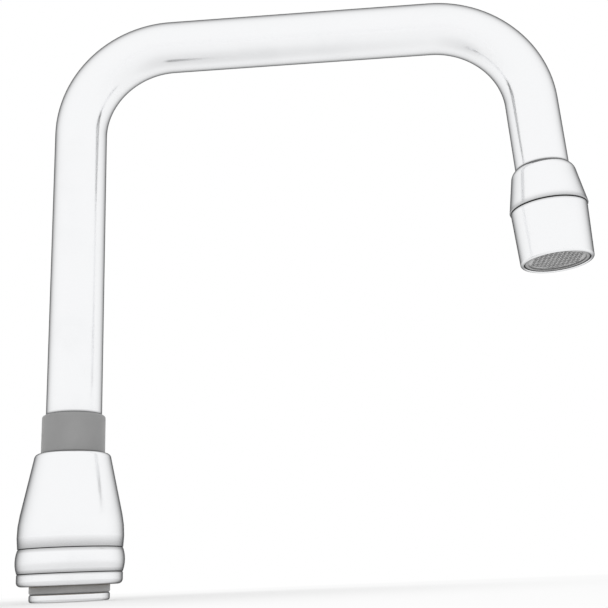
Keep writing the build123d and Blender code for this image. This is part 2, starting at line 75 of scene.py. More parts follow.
# Coupling nut
nut_low, nut_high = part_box("coupling_nut")
NUT_BOTTOM = nut_low.z
NUT_TOP = nut_high.z
NUT_THREAD_RADIUS = 30.1625 / 2 * MM
NUT_THREAD_PITCH = INCH / 18
NUT_THREAD_RINGS = 8
NUT_MOUTH = 0.8 * MM
RIM_HEIGHT = 3.95 * MM
BEAD_HEIGHT = 7.9 * MM
RIM_WALL = 2.22 * MM
RIM_ROUNDING = 1.6 * MM
CREASE_HALF_WIDTH = 0.17 * MM
CREASE_DEPTH = 0.26 * MM
BEAD_RISE = 0.65 * MM
BELLY_RISE = 0.3 * MM
BELLY_ABOVE_BEAD = 4.4 * MM
BELLY_CURVE = 32.0 * MM
NECK_WALL = 1.78 * MM
NECK_ROUNDING = 1.5 * MM
THREAD_RELIEF = 0.15 * MM
THREAD_RELIEF_HEIGHT = 1.4 * MM
CHAMBER_ROOM = 0.5 * MM

# Swivel stem
_, stem_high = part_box("swivel_stem")
INLET_LEDGE = 0.525 * MM
INLET_ROUNDING = 0.48 * MM
NOZZLE_ROOM = 1.22 * MM
FLANGE_HEIGHT = 2.6 * MM
FLANGE_LOWER_ROUNDING = 0.8 * MM
FLANGE_UPPER_ROUNDING = 0.7 * MM
BEARING_GROOVE_HEIGHT = 2.7 * MM
BEARING_GROOVE_DEPTH = 1.2 * MM
RING_LAND = 1.15 * MM
RING_GROOVE_HEIGHT = 2.4 * MM
RING_GROOVE_DEPTH = 1.35 * MM
SHOULDER_HEIGHT = 3.7 * MM
SHOULDER_ROUNDING = 0.3 * MM
EDGE_BREAK = 0.12 * MM

# Guide sleeve
sleeve_low, sleeve_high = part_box("guide_sleeve")
SLEEVE_WALL = 1.195 * MM
SLEEVE_FLANGE_HEIGHT = 2.0 * MM
SLEEVE_ROUNDING = 0.85 * MM
SLEEVE_MOUTH = 0.3 * MM

# Outlet adapter
ADAPTER_LENGTH = 15.5 * MM
ADAPTER_LIP = 0.3 * MM
ADAPTER_SHOULDER_HEIGHT = 2.6 * MM
ADAPTER_SHOULDER_WALL = 1.975 * MM
ADAPTER_OVERHANG = 0.44 * MM
ADAPTER_ROUNDING = 0.4 * MM
OUTLET_THREAD_RADIUS = 23.8125 / 2 * MM
OUTLET_THREAD_PITCH = INCH / 27
OUTLET_THREAD_RINGS = 5
OUTLET_THREAD_NECK = 0.5 * MM

# Outlet housing
HOUSING_SPACE = 0.2 * MM
HOUSING_LENGTH = 19.7 * MM
HOUSING_WALL = 1.494 * MM
HOUSING_TAPER = 0.7 * MM
HOUSING_TOP_ROUNDING = 0.3 * MM
HOUSING_LIP_ROUNDING = 0.85 * MM
HOUSING_LIP_INNER_ROUNDING = 0.4 * MM
HOUSING_MOUTH = 0.4 * MM
HOUSING_LEDGE = 0.506 * MM
FACE_RECESS = 0.5 * MM
HOUSING_THREAD_DEPTH = 0.3 * MM

# Washers and sealing rings
SEAT_WASHER_THICKNESS = 1.5 * MM
SLIP_WASHER_THICKNESS = 1.4 * MM
FILM = 0.01 * MM
OUTLET_WASHER_THICKNESS = 1.5 * MM
OUTLET_WASHER_COVER = 0.7 * MM
O_RING_SECTION = 1.78 * MM
RING_CLEARANCE = 0.02 * MM

# Body of the insert
INSERT_CLEARANCE = 0.07 * MM
INSERT_FLANGE_HEIGHT = 2.0 * MM
INSERT_FLANGE_CLEARANCE = 0.1 * MM
INSERT_ROUNDING = 0.3 * MM
DISC_WALL = 1.68 * MM
DISC_STACK = 3.7 * MM
DISC_LEDGE_WIDTH = 0.5 * MM
CHAMBER_HEIGHT = 1.8 * MM
SCREEN_WALL = 0.88 * MM
CATCH_WIDTH = 0.4 * MM
CATCH_HEIGHT = 0.5 * MM

# Sixty degree threads: the height of the sharp triangle in pitches, and the shares of it that are cut
SHARP_HEIGHT = math.cos(math.radians(30))
INSIDE_THREAD_SHARE = 5 / 8
OUTSIDE_THREAD_SHARE = 17 / 24

# Sizes that follow from the ones above
NUT_CREST_RADIUS = NUT_THREAD_RADIUS - INSIDE_THREAD_SHARE * SHARP_HEIGHT * NUT_THREAD_PITCH
STACK_RADIUS = NUT_CREST_RADIUS - PASSING_CLEARANCE
PLUG_RADIUS = NUT_CREST_RADIUS - NOZZLE_ROOM
RIM_RADIUS = NUT_THREAD_RADIUS + RIM_WALL
RIM_TOP = NUT_BOTTOM + RIM_HEIGHT
BEAD_TOP = RIM_TOP + BEAD_HEIGHT
SOCKET_RADIUS = TUBE_RADIUS + BRAZE_CLEARANCE
WATERWAY = TUBE_RADIUS - TUBE_WALL
INLET_RADIUS = WATERWAY - INLET_LEDGE
SLEEVE_BORE = TUBE_RADIUS + RUNNING_CLEARANCE
SLEEVE_RADIUS = SLEEVE_BORE + SLEEVE_WALL
NUT_BORE = SLEEVE_RADIUS + SLEEVE_CLEARANCE
SLEEVE_BOTTOM = sleeve_low.z
SLEEVE_TOP = sleeve_high.z
NUT_LEDGE = SLEEVE_BOTTOM + SLEEVE_FLANGE_HEIGHT
SHOULDER_TOP = stem_high.z
SHOULDER_BOTTOM = SHOULDER_TOP - SHOULDER_HEIGHT
BEARING_GROOVE_TOP = FLANGE_HEIGHT + BEARING_GROOVE_HEIGHT
LOWER_RING_GROOVE = BEARING_GROOVE_TOP + RING_LAND
UPPER_RING_GROOVE = LOWER_RING_GROOVE + RING_GROOVE_HEIGHT + RING_LAND
ADAPTER_END = LEG_LENGTH + ADAPTER_LENGTH
HOUSING_TOP = ADAPTER_END + HOUSING_SPACE
HOUSING_LIP = HOUSING_TOP + HOUSING_LENGTH
HOUSING_BORE = OUTLET_THREAD_RADIUS + RUNNING_CLEARANCE
ADAPTER_RADIUS = HOUSING_BORE + HOUSING_WALL + ADAPTER_OVERHANG
FACE_RADIUS = HOUSING_BORE - HOUSING_LEDGE
OUTLET_ROOT_RADIUS = OUTLET_THREAD_RADIUS - OUTSIDE_THREAD_SHARE * SHARP_HEIGHT * OUTLET_THREAD_PITCH
THREAD_START = ADAPTER_END + OUTLET_THREAD_NECK
THREAD_END = THREAD_START + OUTLET_THREAD_RINGS * OUTLET_THREAD_PITCH
INSERT_TOP = THREAD_END + OUTLET_WASHER_THICKNESS
INSERT_LEDGE = INSERT_TOP + INSERT_FLANGE_HEIGHT
INSERT_FACE = HOUSING_LIP - FACE_RECESS
INSERT_RADIUS = FACE_RADIUS - INSERT_CLEARANCE
INSERT_FLANGE_RADIUS = HOUSING_BORE - INSERT_FLANGE_CLEARANCE
DISC_BORE = INSERT_RADIUS - DISC_WALL
CHAMBER_BORE = DISC_BORE - DISC_LEDGE_WIDTH
SCREEN_BORE = INSERT_RADIUS - SCREEN_WALL
CATCH_BORE = SCREEN_BORE - CATCH_WIDTH
DISC_LEDGE = INSERT_TOP + DISC_STACK
SCREEN_LEDGE = DISC_LEDGE + CHAMBER_HEIGHT
GRID_BOTTOM = INSERT_FACE - CATCH_HEIGHT

# Stretches of the centre line, as distances from the foot
LEAN = math.asin(LEG_DIRECTION.x)
SECOND_BEND = math.pi / 2 - LEAN
BEND_END = OUTLET_CENTRE - LEG_DIRECTION * HOUSING_LIP
RISE_END = ARM_HEIGHT - BEND_RADIUS
ARM_START = RISE_END + BEND_RADIUS * math.pi / 2
ARM_LENGTH = BEND_END.x - BEND_RADIUS - BEND_RADIUS * math.cos(LEAN)
ARM_END = ARM_START + ARM_LENGTH
LEG_START = ARM_END + BEND_RADIUS * SECOND_BEND

# Reach of the painted shade lines where two pieces or two surfaces meet
CREASE_REACH = 0.36 * MM
NUT_TOP_REACH = 0.3 * MM
NUT_FOOT_REACH = 0.4 * MM
SLEEVE_TOP_REACH = 0.28 * MM
NUT_ON_SLEEVE_REACH = 0.3 * MM
FLANGE_REACH = 0.35 * MM
SLEEVE_ON_TUBE_REACH = 0.6 * MM
ADAPTER_ON_TUBE_REACH = 0.5 * MM
ADAPTER_TOP_REACH = 0.5 * MM
ADAPTER_UNDERSIDE_REACH = 1.1 * MM
ADAPTER_UNDERSIDE_PLACE = 1.4 * MM
HOUSING_TOP_REACH = 0.4 * MM
FACE_REACH = 0.12 * MM
INSERT_RIM_REACH = 0.4 * MM
GRID_REACH = 0.3 * MM

# Fineness of the surfaces
TURN_STEPS = 144
ARC_STEP = math.radians(7)
RUN_STEP = 2.0 * MM
PIECE_STEP = 0.6 * MM
SLEEVE_STEP = 0.4 * MM
INSERT_STEP = 0.25 * MM
TUBE_MARK_STEP = 0.2 * MM
SLEEVE_MARK_STEP = 0.15 * MM
THREAD_ROWS = 18

# Steepness of a thread's flanks, against those of a plain triangle wave
FLANK_STEEPNESS = 1.45

# The step either way, in metres or radians, between which a slope is measured
SLOPE_NUDGE = 1e-6

# A run this much longer than a whole number of steps, in steps, still gets that number of rows
ROUND_OFF = 1e-6

# A run shorter than this, between two roundings that meet, gets no rows of its own
SHORTEST_RUN = 1e-9

# The rounding and the kind of a corner that names neither
PLAIN_CORNER = (0, "plain")


def centre_line(distance):
    """The centre line at distances from the foot: points, sideways vectors and forward vectors.

    The heading turns from straight up by distance over bend radius inside each bend and stays as
    it is between them. The point adds up the straight runs along the heading of each and the
    two circular arcs.
    """
    rise = np.minimum(distance, RISE_END)
    first = np.clip((distance - RISE_END) / BEND_RADIUS, 0, math.pi / 2)
    arm = np.clip(distance - ARM_START, 0, ARM_LENGTH)
    second = np.clip((distance - ARM_END) / BEND_RADIUS, 0, SECOND_BEND)
    leg = np.maximum(distance - LEG_START, 0)
    heading = first + second
    x = BEND_RADIUS * (1 - np.cos(first)) + arm + BEND_RADIUS * np.sin(second) + leg * math.sin(LEAN)
    z = rise + BEND_RADIUS * np.sin(first) - BEND_RADIUS * (1 - np.cos(second)) - leg * math.cos(LEAN)
    flat = np.zeros_like(x)
    points = np.stack([x, flat, z], axis=-1)
    sideways = np.stack([np.cos(heading), flat, -np.sin(heading)], axis=-1)
    forward = np.stack([np.sin(heading), flat, np.cos(heading)], axis=-1)
    return points, sideways, forward


class Outline:
    """A closed outline in (radius, distance), with the outward normals at both ends of each stretch.

    It is drawn with the material on the left. Each corner is (radius, distance, rounding, kind):
    the rounding is a circular arc that touches both runs at the corner, and the kind says what
    the run after the corner is: "plain", "bare" for unplated metal or "thread".
    """

    def __init__(self, corners, run_step=RUN_STEP, thread_step=None):
        full = [tuple(corner) + PLAIN_CORNER[len(corner) - 2:] for corner in corners]
        spots = np.array([corner[:2] for corner in full], float)
        ahead = np.roll(spots, -1, axis=0) - spots
        length = np.hypot(*ahead.T)
        ahead = ahead / length[:, None]
        behind = np.roll(ahead, 1, axis=0)
        cross = behind[:, 0] * ahead[:, 1] - behind[:, 1] * ahead[:, 0]
        turn = np.arctan2(cross, np.sum(behind * ahead, axis=1))
        rounding = np.array([corner[2] for corner in full])
        cut = rounding * np.tan(np.abs(turn) / 2)
        stretches, kinds = [], []
        for index, spot in enumerate(spots):
            following = (index + 1) % len(full)
            room = length[index] - cut[index] - cut[following]
            kind = full[index][3]
            if rounding[index] > 0:
                start = spot - behind[index] * cut[index]
                rows = rounded_rows(start, behind[index], turn[index], rounding[index])
                stretches.append(rows)
                kinds += [full[index - 1][3]] * len(rows[0])
            if room > SHORTEST_RUN:
                step = thread_step if kind == "thread" else run_step
                rows = straight_rows(spot, ahead[index], cut[index], room, step)
                stretches.append(rows)
                kinds += [kind] * len(rows[0])
        self.points, self.starts, self.ends = map(np.concatenate, zip(*stretches))
        self.kinds = np.array(kinds)


def outward_normal(heading):
    """The outward normal of a run, which is its heading turned a quarter turn clockwise."""
    return np.array([heading[1], -heading[0]])


def rounded_rows(start, heading, turn, rounding):
    """Points on the arc that rounds a corner, and the normals at both ends of each stretch.

    The arc's centre lies one rounding from its start, square to the run before the corner. Each
    point lies one rounding from the centre, along that run's normal turned by an even share of
    the whole turn. The last point is left to the run that follows.
    """
    side = math.copysign(1, turn)
    normal = outward_normal(heading)
    centre = start - side * rounding * normal
    steps = max(1, math.ceil(abs(turn) / ARC_STEP))
    normals = turned_by(normal, np.linspace(0, turn, steps + 1))
    return (centre + side * rounding * normals)[:-1], normals[:-1], normals[1:]


def straight_rows(corner, heading, cut, length, step):
    """Evenly spaced points on a run that starts past a corner's rounding, and its normal at each."""
    rows = max(1, math.ceil(length / step - ROUND_OFF))
    along = cut + length * np.arange(rows) / rows
    normals = np.repeat(outward_normal(heading)[None], rows, axis=0)
    return corner + along[:, None] * heading, normals, normals


def turned_by(vector, angles):
    """A flat vector turned anticlockwise by each of several angles."""
    cos, sin = np.cos(angles), np.sin(angles)
    return np.stack([vector[0] * cos - vector[1] * sin, vector[0] * sin + vector[1] * cos], axis=-1)


def bulge(start, end, rise):
    """The corner and rounding of an arc between two points that stands out from its chord by a rise."""
    start, end = np.array(start), np.array(end)
    chord = end - start
    half = np.hypot(*chord) / 2
    radius = (half**2 + rise**2) / (2 * rise)
    reach = half * math.tan(math.asin(half / radius))
    outward = outward_normal(chord) / (2 * half)
    return (*((start + end) / 2 + outward * reach), radius)


def tangent_corner(start, heading, end):
    """The corner and rounding of an arc that leaves a point along a heading and reaches an end."""
    start, end = np.array(start), np.array(end)
    heading = np.array(heading) / np.hypot(*heading)
    chord = end - start
    length = np.hypot(*chord)
    half = math.acos(np.dot(heading, chord) / length)
    radius = length / (2 * math.sin(half))
    return (*(start + heading * radius * math.tan(half)), radius)


def screw_thread(start, end, pitch, depth):
    """The radial offset of a one-start screw thread, as a function of distance and angle.

    The phase is distance over pitch minus angle over a full turn. The offset is a triangle wave
    of the phase with its tips cut flat, times the depth, and fades in and out over half a pitch.
    """
    def offset(distance, angle):
        phase = (distance - start) / pitch - angle / (2 * math.pi)
        wave = 2 * np.abs(phase - np.floor(phase) - 0.5)
        flank = np.clip((wave - 0.5) * FLANK_STEEPNESS + 0.5, 0, 1)
        fade_in = np.clip((distance - start) / (pitch / 2), 0, 1)
        fade_out = np.clip((end - distance) / (pitch / 2), 0, 1)
        inside = fade_in * fade_out
        return depth * flank * inside * inside * (3 - 2 * inside)
    return offset


def fine_rows(radius, distance, step, before, after):
    """Outline points close together round one distance, for a mark to fade over."""
    return [(radius, distance + count * step) for count in range(-before, after + 1)]


def thread_surface(outline, thread, radius, angle):
    """The threaded radius on the grid, and how fast it changes along the line and round it.

    The offset is added only beside the outline's threaded stretches. Each slope is the change of
    the offset between a nudge either way, over twice the nudge.
    """
    threaded = (outline.kinds == "thread") | (np.roll(outline.kinds, 1) == "thread")
    far, turn = np.meshgrid(outline.points[:, 1], angle, indexing="ij")
    on = threaded[:, None]
    radius = radius + on * thread(far, turn)
    change_along = thread(far + SLOPE_NUDGE, turn) - thread(far - SLOPE_NUDGE, turn)
    change_round = thread(far, turn + SLOPE_NUDGE) - thread(far, turn - SLOPE_NUDGE)
    slope_along = on * change_along / (2 * SLOPE_NUDGE)
    slope_round = on * change_round / (2 * SLOPE_NUDGE) / radius
    return radius, slope_along, slope_round


def painted_shade_values(points, marks):
    """Painted shade for creases and where pieces meet: 1 at each mark (radius, distance, reach), fading
    with the gap over the reach as a bell curve.
    """
    painted_shade = np.zeros(len(points))
    for radius, distance, reach in marks:
        gap = np.hypot(points[:, 0] - radius, points[:, 1] - distance)
        painted_shade = np.maximum(painted_shade, np.exp(-(gap / reach) ** 2))
    return painted_shade


def turned_piece(name, outline, thread=None, marks=(), along=0.0):
    """A closed skin: each outline point becomes a circle square to the centre line.

    A point is the centre line's point at the outline's distance, plus its radius times (cosine of
    the angle sideways, sine of the angle across). A thread adds its offset to the radius, and
    tilts the normal by the offset's two slopes. One attribute holds painted shade, 1 at the marks
    in creases and where pieces meet, and the attribute bare is 1 where the outline isn't plated.
    """
    rows = len(outline.points)
    angle = np.linspace(0, 2 * math.pi, TURN_STEPS, endpoint=False)
    centre, sideways, forward = centre_line(outline.points[:, 1] + along)
    across = np.array([0.0, 1.0, 0.0])
    cos, sin = np.cos(angle)[None, :, None], np.sin(angle)[None, :, None]
    spoke = cos * sideways[:, None] + sin * across
    rim = cos * across - sin * sideways[:, None]
    radius = np.repeat(outline.points[:, :1], TURN_STEPS, axis=1)
    slope_along = np.zeros_like(radius)
    slope_round = np.zeros_like(radius)
    if thread is not None:
        radius, slope_along, slope_round = thread_surface(outline, thread, radius, angle)
    points = centre[:, None] + radius[..., None] * spoke

    def lifted(normal, row):
        """Normals of one end of every stretch, from their flat (radius, distance) form."""
        outward, onward = normal[:, 0, None, None], normal[:, 1, None, None]
        ahead = forward[row][:, None]
        tilt = slope_along[row][..., None] * ahead + slope_round[row][..., None] * rim[row]
        whole = outward * spoke[row] + onward * ahead - outward * tilt
        return whole / np.linalg.norm(whole, axis=-1, keepdims=True)

    row = np.arange(rows)
    after = (row + 1) % rows
    start_normals, end_normals = lifted(outline.starts, row), lifted(outline.ends, after)
    column = np.arange(TURN_STEPS)
    beside = (column + 1) % TURN_STEPS
    here, there = row[:, None] * TURN_STEPS, after[:, None] * TURN_STEPS
    corners = np.stack([here + column, here + beside, there + beside, there + column], axis=-1)
    normals = np.stack([
        start_normals, start_normals[:, beside], end_normals[:, beside], end_normals,
    ], axis=2)
    spread = {
        "painted_shade": np.repeat(painted_shade_values(outline.points, marks), TURN_STEPS),
        "bare": np.repeat((outline.kinds != "plain").astype(float), TURN_STEPS),
    }
    return mesh_piece(name, points.reshape(-1, 3), corners.reshape(-1, 4), normals.reshape(-1, 3), spread)


def mesh_piece(name, points, corners, normals, attributes):
    """A mesh object from whole arrays of points, four-cornered faces and a normal for each corner."""
    mesh = bpy.data.meshes.new(name)
    mesh.vertices.add(len(points))
    mesh.vertices.foreach_set("co", points.astype(np.float32).ravel())
    mesh.loops.add(corners.size)
    mesh.loops.foreach_set("vertex_index", corners.astype(np.int32).ravel())
    mesh.polygons.add(len(corners))
    mesh.polygons.foreach_set("loop_start", np.arange(0, corners.size, 4, dtype=np.int32))
    mesh.polygons.foreach_set("use_smooth", np.ones(len(corners), bool))
    mesh.update(calc_edges=True)
    mesh.validate()
    mesh.normals_split_custom_set(normals)
    for key, values in attributes.items():
        attribute = mesh.attributes.new(key, "FLOAT", "POINT")
        attribute.data.foreach_set("value", values.astype(np.float32))
    piece = bpy.data.objects.new(name, mesh)
    bpy.context.scene.collection.objects.link(piece)
    return piece


def coupling_nut():
    """A rim, a rolled bead between two fine creases, and a long bell that closes on the sleeve."""
    crease_bottom = RIM_RADIUS - CREASE_DEPTH
    relief_radius = NUT_THREAD_RADIUS + THREAD_RELIEF
    chamber_radius = STACK_RADIUS + CHAMBER_ROOM
    bead_start = (RIM_RADIUS, RIM_TOP + CREASE_HALF_WIDTH)
    bead_end = (RIM_RADIUS, BEAD_TOP - CREASE_HALF_WIDTH)
    belly_centre = np.array([RIM_RADIUS + BELLY_RISE - BELLY_CURVE, BEAD_TOP + BELLY_ABOVE_BEAD])
    start_angle = math.asin((BEAD_TOP + CREASE_HALF_WIDTH - belly_centre[1]) / BELLY_CURVE)
    belly_start = belly_centre + BELLY_CURVE * np.array([math.cos(start_angle), math.sin(start_angle)])
    neck = np.array([NUT_BORE + NECK_WALL, NUT_TOP])
    to_neck = neck - belly_centre
    end_angle = math.atan2(to_neck[1], to_neck[0]) - math.acos(BELLY_CURVE / np.hypot(*to_neck))
    middle = (start_angle + end_angle) / 2
    reach = BELLY_CURVE / math.cos((end_angle - start_angle) / 2)
    belly_corner = belly_centre + reach * np.array([math.cos(middle), math.sin(middle)])
    thread_bottom = NUT_BOTTOM + NUT_MOUTH
    thread_top = thread_bottom + NUT_THREAD_RINGS * NUT_THREAD_PITCH
    outline = Outline([
        (relief_radius, NUT_BOTTOM, EDGE_BREAK),
        (RIM_RADIUS, NUT_BOTTOM, RIM_ROUNDING),
        (RIM_RADIUS, RIM_TOP - CREASE_HALF_WIDTH),
        (crease_bottom, RIM_TOP),
        bead_start,
        bulge(bead_start, bead_end, BEAD_RISE),
        bead_end,
        (crease_bottom, BEAD_TOP),
        tuple(belly_start),
        (*belly_corner, BELLY_CURVE),
        (*neck, NECK_ROUNDING),
        (NUT_BORE, NUT_TOP, EDGE_BREAK, "bare"),
        (NUT_BORE, NUT_LEDGE, 0, "bare"),
        (chamber_radius, NUT_LEDGE, 0, "bare"),
        (chamber_radius, thread_top + THREAD_RELIEF_HEIGHT, 0, "bare"),
        (relief_radius, thread_top + THREAD_RELIEF_HEIGHT, 0, "bare"),
        (relief_radius, thread_top, 0, "bare"),
        (NUT_CREST_RADIUS, thread_top, 0, "thread"),
        (NUT_CREST_RADIUS, thread_bottom, 0, "bare"),
    ], run_step=PIECE_STEP, thread_step=NUT_THREAD_PITCH / THREAD_ROWS)
    thread = screw_thread(thread_bottom, thread_top, NUT_THREAD_PITCH, NUT_THREAD_RADIUS - NUT_CREST_RADIUS)
    # Painted shade in the two creases, where the nut closes on the sleeve and at the inner edge of its
    # mouth
    marks = [
        (crease_bottom, RIM_TOP, CREASE_REACH),
        (crease_bottom, BEAD_TOP, CREASE_REACH),
        (NUT_BORE, NUT_TOP, NUT_TOP_REACH),
        (relief_radius, NUT_BOTTOM, NUT_FOOT_REACH),
    ]
    return turned_piece("coupling_nut_plated", outline, thread, marks)


def guide_sleeve():
    """The moulded collar: a flange under the nut's ledge and a long neck round the tube."""
    outline = Outline([
        (SLEEVE_BORE, SLEEVE_BOTTOM),
        (STACK_RADIUS, SLEEVE_BOTTOM, EDGE_BREAK),
        (STACK_RADIUS, NUT_LEDGE, EDGE_BREAK),
        (SLEEVE_RADIUS, NUT_LEDGE),
        *fine_rows(SLEEVE_RADIUS, NUT_TOP, SLEEVE_MARK_STEP, before=3, after=3),
        (SLEEVE_RADIUS, SLEEVE_TOP, SLEEVE_ROUNDING),
        (SLEEVE_BORE + SLEEVE_MOUTH / 2, SLEEVE_TOP),
        (SLEEVE_BORE, SLEEVE_TOP - SLEEVE_MOUTH),
    ], run_step=SLEEVE_STEP)
    # Painted shade where the tube enters the collar and where the collar enters the nut
    marks = [
        (SLEEVE_BORE, SLEEVE_TOP, SLEEVE_TOP_REACH),
        (SLEEVE_RADIUS, NUT_TOP, NUT_ON_SLEEVE_REACH),
    ]
    return turned_piece("guide_sleeve_moulded", outline, marks=marks)


def swivel_stem():
    """The plug with its bearing groove, its two ring grooves and the shoulder that the nut clamps."""
    bearing_floor = PLUG_RADIUS - BEARING_GROOVE_DEPTH
    ring_floor = PLUG_RADIUS - RING_GROOVE_DEPTH
    corners = [
        (INLET_RADIUS, 0, INLET_ROUNDING),
        (PLUG_RADIUS, 0, FLANGE_LOWER_ROUNDING),
        (PLUG_RADIUS, FLANGE_HEIGHT, FLANGE_UPPER_ROUNDING),
        (bearing_floor, FLANGE_HEIGHT, 0, "bare"),
        (bearing_floor, BEARING_GROOVE_TOP, 0, "bare"),
        (PLUG_RADIUS, BEARING_GROOVE_TOP, EDGE_BREAK, "bare"),
    ]
    for groove in (LOWER_RING_GROOVE, UPPER_RING_GROOVE):
        corners += [
            (PLUG_RADIUS, groove, EDGE_BREAK, "bare"),
            (ring_floor, groove, EDGE_BREAK, "bare"),
            (ring_floor, groove + RING_GROOVE_HEIGHT, EDGE_BREAK, "bare"),
            (PLUG_RADIUS, groove + RING_GROOVE_HEIGHT, EDGE_BREAK, "bare"),
        ]
    corners += [
        (PLUG_RADIUS, SHOULDER_BOTTOM, EDGE_BREAK, "bare"),
        (STACK_RADIUS, SHOULDER_BOTTOM, SHOULDER_ROUNDING, "bare"),
        (STACK_RADIUS, SHOULDER_TOP, SHOULDER_ROUNDING, "bare"),
        (SOCKET_RADIUS, SHOULDER_TOP, EDGE_BREAK, "bare"),
        (SOCKET_RADIUS, TUBE_SEAT, 0, "bare"),
        (INLET_RADIUS, TUBE_SEAT, 0, "bare"),
    ]
    # Painted shade on the flange under the bearing ring
    marks = [(PLUG_RADIUS - FLANGE_UPPER_ROUNDING, FLANGE_HEIGHT, FLANGE_REACH)]
    return turned_piece("swivel_stem_plated", Outline(corners, run_step=PIECE_STEP), marks=marks)


def spout_tube():
    """The bent tube, with its inner wall and its two square ends."""
    end = LEG_START + LEG_LENGTH + SOCKET_DEPTH
    adapter_top = LEG_START + LEG_LENGTH
    outline = Outline([
        (WATERWAY, TUBE_SEAT, 0),
        (TUBE_RADIUS, TUBE_SEAT, EDGE_BREAK),
        *fine_rows(TUBE_RADIUS, SLEEVE_TOP, TUBE_MARK_STEP, before=2, after=6),
        *fine_rows(TUBE_RADIUS, adapter_top, TUBE_MARK_STEP, before=6, after=2),
        (TUBE_RADIUS, end, EDGE_BREAK, "bare"),
        (WATERWAY, end, 0, "bare"),
    ])
    # Painted shade where the tube enters the collar and the adapter
    marks = [
        (TUBE_RADIUS, SLEEVE_TOP, SLEEVE_ON_TUBE_REACH),
        (TUBE_RADIUS, adapter_top, ADAPTER_ON_TUBE_REACH),
    ]
    return turned_piece("spout_tube_plated", outline, marks=marks)


def outlet_adapter():
    """The tapered end piece: a rounded shoulder, a cone and a male screw thread below it."""
    shoulder_end = (TUBE_RADIUS + ADAPTER_SHOULDER_WALL, LEG_LENGTH + ADAPTER_SHOULDER_HEIGHT)
    cone_edge = (ADAPTER_RADIUS, ADAPTER_END)
    top = (SOCKET_RADIUS + ADAPTER_LIP, LEG_LENGTH)
    heading = np.subtract(shoulder_end, cone_edge)
    socket_end = LEG_LENGTH + SOCKET_DEPTH
    thread_start = THREAD_START - OUTLET_THREAD_NECK / 2
    outline = Outline([
        (SOCKET_RADIUS, LEG_LENGTH),
        top,
        tangent_corner(shoulder_end, heading, top),
        shoulder_end,
        (*cone_edge, ADAPTER_ROUNDING),
        (OUTLET_ROOT_RADIUS, ADAPTER_END, 0, "bare"),
        (OUTLET_ROOT_RADIUS, thread_start, 0, "thread"),
        (OUTLET_ROOT_RADIUS, THREAD_END, 0, "bare"),
        (WATERWAY, THREAD_END, EDGE_BREAK, "bare"),
        (WATERWAY, socket_end, 0, "bare"),
        (SOCKET_RADIUS, socket_end, 0, "bare"),
    ], run_step=PIECE_STEP, thread_step=OUTLET_THREAD_PITCH / THREAD_ROWS)
    thread_depth = OUTLET_THREAD_RADIUS - OUTLET_ROOT_RADIUS
    thread = screw_thread(thread_start, THREAD_END, OUTLET_THREAD_PITCH, thread_depth)
    # Painted shade where the tube enters the adapter, and a broad painted shadow on the underside of the
    # cone
    marks = [
        (*top, ADAPTER_TOP_REACH),
        (OUTLET_ROOT_RADIUS + ADAPTER_UNDERSIDE_PLACE, ADAPTER_END, ADAPTER_UNDERSIDE_REACH),
    ]
    return turned_piece("outlet_adapter_plated", outline, thread, marks, along=LEG_START)


def outlet_housing():
    """The screw-on shell, with its thread cut into the bore above the ledge that holds the insert."""
    lip_radius = HOUSING_BORE + HOUSING_WALL - HOUSING_TAPER
    thread_start = HOUSING_TOP + HOUSING_MOUTH
    outline = Outline([
        (HOUSING_BORE + HOUSING_MOUTH, HOUSING_TOP),
        (HOUSING_BORE + HOUSING_WALL, HOUSING_TOP, HOUSING_TOP_ROUNDING),
        (lip_radius, HOUSING_LIP, HOUSING_LIP_ROUNDING),
        (FACE_RADIUS, HOUSING_LIP, HOUSING_LIP_INNER_ROUNDING),
        (FACE_RADIUS, INSERT_FACE),
        (FACE_RADIUS, INSERT_LEDGE, 0, "bare"),
        (HOUSING_BORE, INSERT_LEDGE, 0, "bare"),
        (HOUSING_BORE, THREAD_END, 0, "thread"),
        (HOUSING_BORE, thread_start, 0, "bare"),
    ], run_step=PIECE_STEP, thread_step=OUTLET_THREAD_PITCH / THREAD_ROWS)
    thread = screw_thread(thread_start, THREAD_END, OUTLET_THREAD_PITCH, HOUSING_THREAD_DEPTH)
    # Painted shade at the seam under the adapter and round the insert's face
    marks = [
        (HOUSING_BORE + HOUSING_WALL - HOUSING_TOP_ROUNDING, HOUSING_TOP, HOUSING_TOP_REACH),
        (FACE_RADIUS, INSERT_FACE, FACE_REACH),
    ]
    return turned_piece("outlet_housing_plated", outline, thread, marks, along=LEG_START)


def insert_body():
    """The moulded cup in the housing, seen from below as the rim round the honeycomb."""
    outline = Outline([
        (DISC_BORE, INSERT_TOP),
        (INSERT_FLANGE_RADIUS, INSERT_TOP, EDGE_BREAK),
        (INSERT_FLANGE_RADIUS, INSERT_LEDGE, EDGE_BREAK),
        (INSERT_RADIUS, INSERT_LEDGE),
        (INSERT_RADIUS, INSERT_FACE, INSERT_ROUNDING),
        (CATCH_BORE, INSERT_FACE, EDGE_BREAK),
        (CATCH_BORE, GRID_BOTTOM),
        (SCREEN_BORE, GRID_BOTTOM),
        (SCREEN_BORE, SCREEN_LEDGE),
        (CHAMBER_BORE, SCREEN_LEDGE),
        (CHAMBER_BORE, DISC_LEDGE),
        (DISC_BORE, DISC_LEDGE),
    ], run_step=INSERT_STEP)
    # Painted shade round the rim of the face and where the honeycomb sits
    marks = [
        (INSERT_RADIUS, INSERT_FACE, INSERT_RIM_REACH),
        (CATCH_BORE, GRID_BOTTOM, GRID_REACH),
    ]
    return turned_piece("insert_body_moulded", outline, marks=marks, along=LEG_START)


def flat_ring(name, bore, radius, bottom, thickness, rounding, along=0.0):
    """A washer with rounded edges. A rounding of half the thickness makes a round section."""
    outline = Outline([
        (bore, bottom, rounding),
        (radius, bottom, rounding),
        (radius, bottom + thickness, rounding),
        (bore, bottom + thickness, rounding),
    ])
    return turned_piece(name, outline, along=along)


